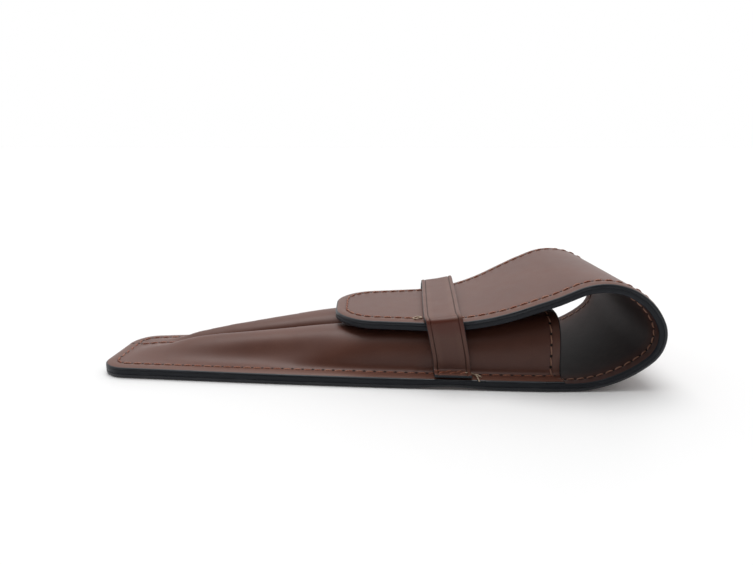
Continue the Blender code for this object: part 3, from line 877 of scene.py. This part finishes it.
def make_keeper(name):
    """The band, with a crease line along each long edge."""
    inside = KEEPER_WIDTH / 2 - KEEPER_COLUMNS[-1]
    offsets = [inset - KEEPER_WIDTH / 2 for inset in KEEPER_COLUMNS]
    offsets += [inside * (2 * i / KEEPER_SPANS - 1) for i in range(1, KEEPER_SPANS)]
    offsets += [KEEPER_WIDTH / 2 - inset for inset in reversed(KEEPER_COLUMNS)]
    lines = []
    for offset in offsets:
        path = keeper_path(KEEPER_X + offset)
        total = length_of(path)
        lines.append((walk(path, [total * j / (KEEPER_ROWS - 1) for j in range(KEEPER_ROWS)]), total))
    build, hide, seam = plate_of(len(offsets), KEEPER_ROWS)
    for vert, i, j, inner in cells_of(build):
        spots, total = lines[i]
        spot = spots[j][0]
        step = (spots[min(j + 1, KEEPER_ROWS - 1)][0] - spots[max(j - 1, 0)][0]).normalized()
        normal = Vector((-step.y, step.x))
        t = j / (KEEPER_ROWS - 1)
        from_side = KEEPER_WIDTH / 2 - abs(offsets[i])
        from_end = total * min(t, 1 - t)
        vert[hide] = (offsets[i], total * t, KEEPER_LEATHER if inner else 0.0)
        vert[seam] = (0.0, FAR_OFF, min(from_side, from_end))
        if inner:
            depth = KEEPER_LEATHER - rounding(min(from_side, from_end), KEEPER_INNER_ROUND)
        else:
            depth = rounding(from_side, KEEPER_SIDE_ROUND) + rounding(from_end, KEEPER_END_ROUND)
            off_crease = (from_side - KEEPER_CREASE) / KEEPER_CREASE_WIDTH
            depth += KEEPER_CREASE_DEPTH * math.exp(-off_crease ** 2)
            off_bead = (from_side - KEEPER_CREASE / 2) / KEEPER_BEAD_WIDTH
            depth -= KEEPER_BEAD * math.exp(-off_bead ** 2)
            wave = noise.noise(Vector((offsets[i], total * t, 11)) * KEEPER_WAVE_SIZE)
            depth -= KEEPER_WAVES * wave
        waist = 1 - KEEPER_WAIST * math.exp(-((t - KEEPER_WAIST_AT) / KEEPER_WAIST_RUN) ** 2)
        x = KEEPER_X + offsets[i] * waist + keeper_lean(t)
        vert.co = (x, spot.x - normal.x * depth, spot.y - normal.y * depth)
    return finish_mesh(name, build)


keeper = make_keeper("keeper_band")
keep(keeper, "outer_leather", ["keeper"])

# Stitches: each is a short thread that rises from one hole and dives into the next
UP = Vector((0, 0, 1))


def stitch_shape():
    """One stitch along X, lying on the plane z = 0, with its own coordinates kept for the ply."""
    build = bmesh.new()
    bmesh.ops.create_cone(build, cap_ends=True, segments=6, radius1=THREAD_RADIUS, radius2=THREAD_RADIUS,
                          depth=STITCH_LENGTH)
    long_edges = [e for e in build.edges if abs(e.verts[0].co.z - e.verts[1].co.z) > STITCH_LENGTH / 2]
    bmesh.ops.subdivide_edges(build, edges=long_edges, cuts=6, use_grid_fill=True)
    bmesh.ops.rotate(build, verts=build.verts, matrix=Matrix.Rotation(math.pi / 2, 3, "Y"))
    ply = build.verts.layers.float_vector.new("ply")
    for vert in build.verts:
        u = vert.co.x / (STITCH_LENGTH / 2)
        turn = math.atan2(vert.co.y, vert.co.z) / (2 * math.pi)
        vert[ply] = (vert.co.x, turn, 0.0)
        slim = 1 - STITCH_SLIM * abs(u) ** 4
        vert.co.y *= slim
        flattened = vert.co.z * slim * STITCH_FLATTENED
        vert.co.z = flattened + THREAD_RADIUS * STITCH_LIFT - STITCH_DIVE * abs(u) ** 3.2
    return build, ply


def sew(name, frames, bend=None, ends=(), lit_from=math.inf):
    """A row of stitches, one in each frame, shaped with the leather, and the thread's loose ends along
    their lines of points. From the stitch numbered by the last argument on, the thread is painted
    paler, as painted light on it."""
    build, ply = stitch_shape()
    pattern = build.verts[:] + build.edges[:] + build.faces[:]

    def copied_stitch():
        copied = bmesh.ops.duplicate(build, geom=pattern)["geom"]
        return [item for item in copied if isinstance(item, bmesh.types.BMVert)]

    for points in ends:
        line = rounded_path([Vector(point) for point in points], [LOOSE_BEND] * (len(points) - 2))
        for vert in copied_stitch():
            along, turn = vert[ply].xy
            share = min(max(along / STITCH_LENGTH + 0.5, 0.0), 0.9999) * (len(line) - 1)
            before = int(share)
            step = line[before + 1] - line[before]
            side = step.cross(UP).normalized()
            rise = side.cross(step).normalized()
            angle = 2 * math.pi * turn
            vert[ply] = (along, turn, LOOSE_END)
            vert.co = line[before] + step * (share - before)
            vert.co += (side * math.sin(angle) + rise * math.cos(angle)) * THREAD_RADIUS * LOOSE_THIN
    for index, frame_matrix in enumerate(frames):
        verts = copied_stitch()
        lean = STITCH_LEAN + STITCH_SWAY * noise.noise(Vector((index * 3.7, 1.3, 0)))
        # Painted light: from the given stitch on, stitches take the paler, lit colour and a thinner thread
        lit_look = index >= lit_from
        thin = PALE_THIN if lit_look else 1.0
        turned = frame_matrix @ Matrix.Rotation(lean, 4, "Z") @ Matrix.Diagonal((1, thin, thin, 1))
        bmesh.ops.transform(build, matrix=turned, verts=verts)
        for vert in verts:
            along, turn = vert[ply].xy
            vert[ply] = (along, turn, index * STITCH_SHIFT % 1.0 + (LIT_THREAD_MARK if lit_look else 0))
            if bend:
                vert.co = bend(vert.co)
    bmesh.ops.delete(build, geom=pattern, context="VERTS")
    return finish_mesh(name, build, math.radians(70))


def frame_at(spot, along, up):
    """Matrix that lays a stitch at a spot, along one direction and standing up in another."""
    along = along.normalized()
    side = up.cross(along).normalized()
    up = along.cross(side)
    turned = Matrix((along, side, up)).transposed().to_4x4()
    return Matrix.Translation(spot) @ turned


seam_spots = walk(SEAM, [SEAM_PITCH * (i + 0.5) for i in range(SEAM_STITCHES)])


def seam_frames(first, last, depth, up, sides=(-1, 1)):
    """Frames in the flat strip for the edge seam's stitches between two stations."""
    frames = []
    for spot, direction in seam_spots:
        if first <= spot.x < last:
            for side in sides:
                sunk = under_sink(spot.x) if up.z < 0 else 0.0
                place = Vector((spot.x, side * spot.y, depth + sunk))
                frames.append(frame_at(place, Vector((direction.x, side * direction.y, 0)), up))
    return frames


foot_start = KEEPER_X - KEEPER_WIDTH / 2
foot_end = KEEPER_X + KEEPER_WIDTH / 2 + FOOT_MARGINS[1]
last_on_flange = MOUTH_STATION - LAST_STITCH_MARGIN
toe_frames = seam_frames(0.0, foot_start + FOOT_MARGINS[0] - TOE_X, 0.0, UP)
keep(sew("stitches_toe", toe_frames, on_flange), "thread", ["thread_toe_seam"])
for word, side in SIDES:
    side_frames = seam_frames(foot_end - TOE_X, last_on_flange, 0.0, UP, (side,))
    keep(sew("stitches_side_" + word, side_frames, on_flange), "thread", ["thread_side_seam_" + word])

for zone, body in enumerate(FLAP_BODIES[1:]):
    first, last = CUTS[zone], CUTS[zone + 1]
    outside = seam_frames(first, last, 0.0, -UP)
    inside = seam_frames(last_on_flange if zone == 0 else first, last, LINING_TOP, UP)
    ends = TONGUE_THREAD_ENDS if body == "flap_tongue" else ()
    # The stitches on the lining side are painted paler, as lit
    piece = sew("stitches_" + body, outside + inside, folded, ends, len(outside))
    bend_with(piece, zone)
    node = "thread_" + body
    keep(piece, "thread", [node] if body == "flap_tongue" else [node + "_near", node + "_far"], rides=False)

for word, side in SIDES:
    points, total, pitch = hem_rows[side]
    frames = []
    for i in range(round((total - SEAM_INSET) / pitch)):
        point, normal = on_section(points, total, SEAM_INSET + pitch * (i + 0.5))
        along = Vector((0, -side * normal.y, normal.x))
        out = Vector((0, side * normal.x, normal.y))
        frames.append(frame_at(on_panel(HEM_STATION, side, point), along, out))
    # The hem's stitches are all painted paler, as lit
    keep(sew("stitches_hem_" + word, frames, lit_from=0), "thread", ["thread_mouth_hem_" + word])

frames = []
for i in range(int((HEM_STATION - CENTRE_START) / STITCH_PITCH)):
    s = CENTRE_START + STITCH_PITCH * (i + 0.5)
    valley = half_section(TOE_X + s, 1)[-1]
    frames.append(frame_at(on_panel(s, 1, valley), Vector((1, 0, 0)), UP))
keep(sew("stitches_centre", frames), "thread", ["thread_centre_seam"])

for word, side in SIDES:
    frames = []
    for row, inset in enumerate(TACK_INSETS):
        for i in range(3):
            x = foot_start + TACK_START + STITCH_PITCH * i - TACK_STEP_BACK * row
            x += keeper_lean(TACK_SHARE if side < 0 else 1 - TACK_SHARE)
            edge = case_side(x)
            slope = (case_side(x + SLOPE_STEP) - case_side(x - SLOPE_STEP)) / (2 * SLOPE_STEP)
            spot = Vector((x, side * (edge - inset), FLANGE_TOP + KEEPER_LEATHER))
            frames.append(frame_at(spot, Vector((1, side * (slope + TACK_SLANT), 0)), UP))
    piece = sew("stitches_keeper_" + word, frames, ends=KEEPER_THREAD_ENDS if side < 0 else ())
    keep(piece, "thread", ["thread_keeper_" + word])


# Finishes
def worked_out(operation, swapped=False):
    """A way to work with a value, by one of the Math node's operations."""
    def work(self, other=0.0):
        first, second = (other, self) if swapped else (self, other)
        return self.finish.maths(operation, first, second)

    return work


class Value:
    """A number that varies over a surface and can stand in a sum."""

    def __init__(self, finish, socket):
        self.finish = finish
        self.socket = socket

    __add__ = __radd__ = worked_out("ADD")
    __sub__ = worked_out("SUBTRACT")
    __rsub__ = worked_out("SUBTRACT", swapped=True)
    __mul__ = __rmul__ = worked_out("MULTIPLY")
    __abs__ = worked_out("ABSOLUTE")


class Nodes:
    """The nodes of one material or of the room's light."""

    def __init__(self, tree):
        self.tree = tree

    def node(self, kind, settings=None, values=None):
        made = self.tree.nodes.new(kind)
        for key, value in (settings or {}).items():
            setattr(made, key, value)
        for key, value in (values or {}).items():
            self.plug(made.inputs[key], value)
        return made

    def plug(self, socket, value):
        if isinstance(value, Value):
            value = value.socket
        if isinstance(value, bpy.types.NodeSocket):
            self.tree.links.new(value, socket)
        else:
            socket.default_value = value

    def maths(self, operation, first, second=0.0):
        made = self.node("ShaderNodeMath", {"operation": operation}, {0: first, 1: second})
        return Value(self, made.outputs[0])

    def step(self, value, low, high):
        """0 below low, 1 above high, smooth between."""
        made = self.node("ShaderNodeMapRange", {"interpolation_type": "SMOOTHSTEP"},
                         {0: value, 1: low, 2: high, 3: 0.0, 4: 1.0})
        return Value(self, made.outputs[0])

    def rays(self, *kinds):
        """1 for rays of these kinds, 0 for the others."""
        path = self.node("ShaderNodeLightPath")
        total = 0.0
        for kind in kinds:
            total = self.maths("MAXIMUM", Value(self, path.outputs[kind]), total)
        return total


class Finish(Nodes):
    """The nodes of one material of the case."""

    def __init__(self, name, **constants):
        self.material = bpy.data.materials.new(name)
        self.material.use_nodes = True
        super().__init__(self.material.node_tree)
        self.shader = self.tree.nodes["Principled BSDF"]
        for socket, value in constants.items():
            self.shader.inputs[socket.replace("_", " ")].default_value = value

    def kept(self, attribute):
        """A kept attribute of the mesh as a vector, and its three parts."""
        vector = self.node("ShaderNodeAttribute", {"attribute_name": attribute}).outputs["Vector"]
        parts = self.node("ShaderNodeSeparateXYZ", values={0: vector})
        return vector, *[Value(self, part) for part in parts.outputs]

    def grain(self, vector, scale, detail, roughness=0.5):
        made = self.node("ShaderNodeTexNoise", values={"Vector": vector, "Scale": scale, "Detail": detail,
                                                       "Roughness": roughness})
        return Value(self, made.outputs[0])

    def cells(self, vector, scale):
        made = self.node("ShaderNodeTexVoronoi", {"feature": "DISTANCE_TO_EDGE"},
                         {"Vector": vector, "Scale": scale})
        return Value(self, made.outputs[0])

    def blend(self, share, first, second):
        """Colour that goes from the first to the second."""
        made = self.node("ShaderNodeMix", {"data_type": "RGBA"}, {0: share, 6: first, 7: second})
        return made.outputs[2]

    def stretch(self, vector, scale):
        made = self.node("ShaderNodeVectorMath", {"operation": "MULTIPLY"}, {0: vector, 1: scale})
        return made.outputs[0]

    def surface(self, colour, roughness, height):
        """Give the shader its colour, its roughness and its relief, whose height is in RELIEF."""
        self.plug(self.shader.inputs["Base Color"], colour)
        self.plug(self.shader.inputs["Roughness"], roughness)
        bump = self.node("ShaderNodeBump", values={"Strength": 1.0, "Distance": RELIEF, "Height": height})
        self.plug(self.shader.inputs["Normal"], bump.outputs[0])
        return self.material


def holes_and_groove(finish, phase, off):
    """Masks of the stitch holes and of the groove between them; the finishes paint both darker, as painted
    shade.
    """
    to_hole = abs(finish.maths("FRACT", phase + 0.5) - 0.5) * STITCH_PITCH
    away = finish.maths("SQRT", to_hole * to_hole + off * off)
    hole = 1 - finish.step(away, *HOLE_RIM)
    groove = 1 - finish.step(abs(off), *GROOVE_RIM)
    return hole, groove


def edge_paint(finish, colour, hide, from_cut, reach):
    """Colour with the black edge paint over it, the paint's mask, with a hand-drawn border, and its
    streaks."""
    wander = finish.grain(hide, 700, 2) - 0.5
    paint = 1 - finish.step(from_cut + wander * PAINT_WANDER, reach, reach + PAINT_BLUR)
    streaks = finish.grain(finish.stretch(hide, (160, 160, 3200)), 1.0, 3)
    painted = finish.blend(finish.step(streaks, 0.55, 0.75) * 0.6, PAINT, PAINT_WORN)
    return finish.blend(paint, colour, painted), paint, streaks


RELIEF = 0.0001
PAINT_REACH = 0.00036
KEEPER_PAINT_REACH = 0.00005
PAINT_WANDER = 0.00022
PAINT_BLUR = 0.00012
HOLE_RIM = (0.00022, 0.00052)
GROOVE_RIM = (0.0002, 0.0009)
CREASE_RIM = (0.00004, 0.00024)
# Painted shade on the keeper's walls just under its bends, as distances from its middle
UNDER_BEND_SHADE_FROM = (0.0230, 0.0240)
UNDER_BEND_SHADE_UNTIL = (0.0255, 0.0295)
FLESH_FROM = (0.0006, 0.0009)
# Bands by the cut edges painted lighter: painted sheen on the leather, painted light on the lining
LEATHER_SHEEN_RIM_UNTIL = (0.0022, 0.0034)
LINING_LIT_RIM_UNTIL = (0.0045, 0.0085)
# Painted shade where the thread dives into its holes, by distance from the stitch's middle
DIVE_FROM = (0.0010, 0.00135)
LEATHER_BODY = (0.118, 0.043, 0.028, 1)
LEATHER_DEEP = (0.078, 0.027, 0.018, 1)
LEATHER_WARM = (0.150, 0.058, 0.036, 1)
# Painted shade: the darker, redder colour of the keeper's walls just under its bends
LEATHER_UNDER_BEND_SHADE = (0.100, 0.016, 0.006, 1)
# Painted sheen: a lighter, less red band between the seam and the cut edge
LEATHER_SHEEN_RIM = (0.135, 0.055, 0.036, 1)
FLESH_SIDE = (0.120, 0.070, 0.048, 1)
# Painted shade: the near black inside stitch holes, at the thread's dives into them and along the keeper's
# creases
HOLE_SHADE = (0.010, 0.005, 0.004, 1)
PAINT = (0.012, 0.014, 0.019, 1)
PAINT_WORN = (0.030, 0.034, 0.043, 1)
LINING_BODY = (0.038, 0.021, 0.020, 1)
LINING_PALE = (0.066, 0.040, 0.038, 1)
# Painted light: the lining lighter and redder near its cut edges than deeper in
LINING_LIT_RIM = (0.076, 0.031, 0.023, 1)
THREAD_BODY = (0.360, 0.118, 0.064, 1)
# Painted shade in the groove between the thread's two plies
THREAD_TWIST_SHADE = (0.170, 0.052, 0.029, 1)
THREAD_PALE = (0.480, 0.240, 0.160, 1)
# Painted light: the same thread, paler where it is lit, on the lining side and at the hem
THREAD_LIT = (0.480, 0.270, 0.190, 1)
THREAD_CORE = (0.560, 0.450, 0.330, 1)


def leather_finish(name, creased=False):
    """Smooth brown leather: grain side, flesh side, painted cut edges and stitch holes. Painted shade
    darkens the holes, the stitch grooves, and the keeper's creases and walls under its bends; a
    lighter band by the cut edges is painted sheen.
    """
    finish = Finish(name, Specular_IOR_Level=0.42)
    hide, _, along, depth = finish.kept("hide")
    _, phase, off, from_cut = finish.kept("seam")
    _, row_phase, row_off, on_row = finish.kept("row")
    clouds = finish.grain(hide, 55, 3)
    blotches = finish.grain(hide, 260, 3)
    pores = finish.grain(hide, 2600, 3, 0.6)
    creases = finish.cells(hide, 1500)
    colour = finish.blend(finish.step(clouds * 0.7 + blotches * 0.3, 0.34, 0.66), LEATHER_DEEP, LEATHER_WARM)
    colour = finish.blend(0.78, colour, LEATHER_BODY)
    colour = finish.blend(finish.step(pores, 0.42, 0.72) * 0.25, colour, LEATHER_DEEP)
    # Painted sheen: a lighter band between the seam and the cut edge
    lit_rim = (1 - finish.step(from_cut, *LEATHER_SHEEN_RIM_UNTIL)) * 0.7
    colour = finish.blend(lit_rim, colour, LEATHER_SHEEN_RIM)
    hole, groove = holes_and_groove(finish, phase, off)
    row_hole, row_groove = holes_and_groove(finish, row_phase, row_off)
    hole = finish.maths("MAXIMUM", hole, row_hole * on_row)
    groove = finish.maths("MAXIMUM", groove, row_groove * on_row)
    # Painted shade: the stitch groove darkened
    colour = finish.blend(groove * 0.35, colour, LEATHER_DEEP)
    if creased:
        # Painted shade: a dark line along each of the keeper's crease grooves
        crease = 1 - finish.step(abs(from_cut - KEEPER_CREASE), *CREASE_RIM)
        colour = finish.blend(crease * 0.6, colour, HOLE_SHADE)
        from_middle = abs(along - KEEPER_MIDDLE)
        # Painted shade: the keeper's walls darker and redder just under its bends
        under_bend_shade = finish.step(from_middle, *UNDER_BEND_SHADE_FROM) * (1 - finish.step(from_middle, *UNDER_BEND_SHADE_UNTIL))
        colour = finish.blend(under_bend_shade * 0.7, colour, LEATHER_UNDER_BEND_SHADE)
    flesh = finish.step(depth, *FLESH_FROM)
    colour = finish.blend(flesh, colour, FLESH_SIDE)
    # Painted shade: the stitch holes darkened
    colour = finish.blend(hole * (1 - flesh), colour, HOLE_SHADE)
    reach = KEEPER_PAINT_REACH if creased else PAINT_REACH
    colour, paint, streaks = edge_paint(finish, colour, hide, from_cut, reach)
    rough = 0.36 + blotches * 0.10 + pores * 0.06 + flesh * 0.35 + hole * 0.5
    rough = rough - paint * finish.step(finish.grain(hide, 90, 2), 0.50, 0.68) * 0.22
    height = pores * 0.10 + finish.step(creases, 0.0, 0.12) * 0.05 - hole * 0.4 + flesh * pores * 0.8
    height = height + paint * streaks * 0.7
    return finish.surface(colour, rough, height)


def lining_finish(name):
    """Thin dark lining leather with a fine fibrous grain and painted edges, painted lighter and redder
    near its cut edges than deeper in, as painted light.
    """
    finish = Finish(name, Specular_IOR_Level=0.2)
    hide = finish.kept("hide")[0]
    _, phase, off, from_cut = finish.kept("seam")
    clouds = finish.grain(hide, 70, 3)
    fibres = finish.grain(finish.stretch(hide, (500, 1400, 900)), 1.0, 4, 0.65)
    pores = finish.grain(hide, 2200, 3, 0.6)
    colour = finish.blend(finish.step(clouds * 0.5 + fibres * 0.5, 0.38, 0.68), LINING_BODY, LINING_PALE)
    # Painted light: a lighter band near the cut edges, darker deeper in
    lit_rim = 1 - finish.step(from_cut, *LINING_LIT_RIM_UNTIL)
    colour = finish.blend(lit_rim * 0.8, colour, LINING_LIT_RIM)
    hole, groove = holes_and_groove(finish, phase, off)
    # Painted shade: the stitch groove darkened
    colour = finish.blend(groove * 0.3, colour, LINING_BODY)
    # Painted shade: the stitch holes darkened
    colour = finish.blend(hole, colour, HOLE_SHADE)
    colour, paint, streaks = edge_paint(finish, colour, hide, from_cut, PAINT_REACH)
    rough = 0.50 + fibres * 0.16 - paint * 0.20 + hole * 0.2
    height = fibres * 0.30 + pores * 0.15 - hole * 0.4 + paint * streaks * 0.4
    return finish.surface(colour, rough, height)


def thread_finish(name):
    """Waxed thread of two plies, each stitch a little different, with painted shade between the plies
    and where it dives into its holes, and painted light on the stitches marked as lit.
    """
    finish = Finish(name)
    ply, along, turn, number = finish.kept("ply")
    twist = finish.maths("FRACT", along * 1500 + turn * 2 + number)
    strand = abs(twist - 0.5) * 2
    fuzz = finish.grain(finish.stretch(ply, (9000, 6, 40)), 1.0, 2)
    # Painted shade: darker in the groove between the plies
    colour = finish.blend(finish.step(strand, 0.1, 0.75), THREAD_TWIST_SHADE, THREAD_BODY)
    worn = fuzz + finish.maths("FRACT", number) * 0.5
    colour = finish.blend(finish.step(worn, 0.55, 1.0) * 0.45, colour, THREAD_PALE)
    # Painted light: stitches marked as lit take the paler colour
    lit_look = finish.step(number, 1.2, 1.8)
    colour = finish.blend(lit_look * 0.75, colour, THREAD_LIT)
    loose = finish.step(number, 3.2, 3.8)
    colour = finish.blend(loose * 0.85, colour, THREAD_CORE)
    # Painted shade: the thread's ends darkened where they dive into the holes
    dive = finish.step(abs(along), *DIVE_FROM) * (1 - loose)
    colour = finish.blend(dive * 0.7, colour, HOLE_SHADE)
    return finish.surface(colour, 0.48 + strand * 0.15, finish.step(strand, 0.0, 0.6) * 0.6 + fuzz * 0.2)


finishes = {
    "outer_leather": leather_finish("brown_leather"),
    "lining": lining_finish("lining_leather"),
    "thread": thread_finish("waxed_thread"),
}
pieces_of["outer_leather"].remove(keeper)
keeper.data.materials.append(leather_finish("creased_leather", creased=True))
for slot, pieces in pieces_of.items():
    for piece in pieces:
        piece.data.materials.append(finishes[slot])

# Table, light and camera
table_build = bmesh.new()
bmesh.ops.create_grid(table_build, x_segments=1, y_segments=1, size=TABLE_SIZE)
table = finish_mesh("table", table_build)
table.location.z = TABLE_TOP

white_table = Finish("white_table", Base_Color=TABLE_WHITE, Roughness=0.5, Specular_IOR_Level=0.2)
glow = white_table.node("ShaderNodeEmission", values={"Color": (1, 1, 1, 1), "Strength": TABLE_LIFT})
lifted = white_table.node("ShaderNodeAddShader",
                          values={0: white_table.shader.outputs[0], 1: glow.outputs[0]})
in_view = white_table.rays("Is Camera Ray", "Is Glossy Ray", "Is Transmission Ray")
bounced = white_table.node("ShaderNodeBsdfDiffuse", values={"Color": TABLE_BOUNCE})
seen = white_table.node("ShaderNodeMixShader", values={0: in_view, 1: bounced.outputs[0],
                                                       2: lifted.outputs[0]})
white_table.plug(white_table.tree.nodes["Material Output"].inputs["Surface"], seen.outputs[0])
table.data.materials.append(white_table.material)

world = bpy.data.worlds.new("white_room")
world.use_nodes = True
room = Nodes(world.node_tree)
direction = room.node("ShaderNodeTexCoord").outputs["Generated"]
towards = room.node("ShaderNodeVectorMath", {"operation": "DOT_PRODUCT"}, {0: direction, 1: BRIGHT_SIDE})
shade = room.step(towards.outputs["Value"], DARK_UNTIL, BRIGHT_FROM) * (1 - FRONT_SHADE) + FRONT_SHADE
strength = room.rays("Is Glossy Ray") * (1 - ROOM_LIGHT) + ROOM_LIGHT
lit = room.node("ShaderNodeBackground", values={"Color": shade, "Strength": strength})
white = room.node("ShaderNodeBackground", values={"Color": (1, 1, 1, 1), "Strength": 1.0})
choice = room.node("ShaderNodeMixShader", values={0: room.rays("Is Camera Ray", "Is Transmission Ray"),
                                                  1: lit.outputs[0], 2: white.outputs[0]})
room.plug(room.tree.nodes["World Output"].inputs["Surface"], choice.outputs[0])
bpy.context.scene.world = world
bpy.context.scene.view_settings.view_transform = "Standard"

overhead = bpy.data.lights.new("overhead_softbox", "SUN")
overhead.energy = OVERHEAD_LIGHT
overhead.angle = OVERHEAD_SPREAD
overhead_object = bpy.data.objects.new("overhead_softbox", overhead)
overhead_object.rotation_euler = Vector(OVERHEAD_AIM).to_track_quat("-Z", "Y").to_euler()
bpy.context.scene.collection.objects.link(overhead_object)

camera = bpy.data.cameras.new("camera")
camera.sensor_width = 36.0
camera.lens = CAMERA_LENS
camera.clip_start = 0.01
camera_object = bpy.data.objects.new("camera", camera)
camera_object.location = CAMERA_PLACE
camera_object.rotation_euler = (math.pi / 2 - CAMERA_PITCH, 0, -CAMERA_YAW)
bpy.context.scene.collection.objects.link(camera_object)
bpy.context.scene.camera = camera_object
